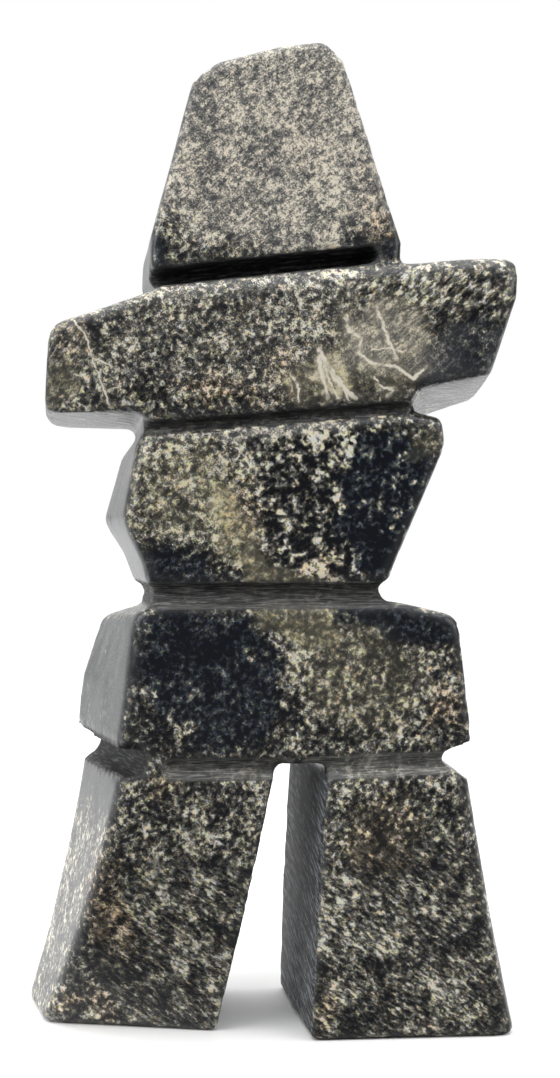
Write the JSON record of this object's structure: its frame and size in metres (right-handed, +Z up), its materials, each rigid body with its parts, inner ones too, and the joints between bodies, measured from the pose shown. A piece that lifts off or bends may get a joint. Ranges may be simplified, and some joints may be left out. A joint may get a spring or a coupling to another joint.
{
  "type": "inukshuk sculpture",
  "caption": "Small carved stone figure in the shape of stacked stones: legs apart, hips, torso, wide arms and head, parted by filed grooves.",
  "frame": {"origin": "on the floor that both soles stand on, under the middle of the figure's outer box", "axes": "+Z up from the soles to the head, the front of the figure looks along -Y, +X to the right of someone who looks at its front"},
  "size_m": [0.0646, 0.0268, 0.1259],
  "materials": {
    "speckled_serpentine": "hand-polished satin"
  },
  "bodies": {
    "root": {"inukshuk_carving": "speckled_serpentine"}
  },
  "joints": []
}
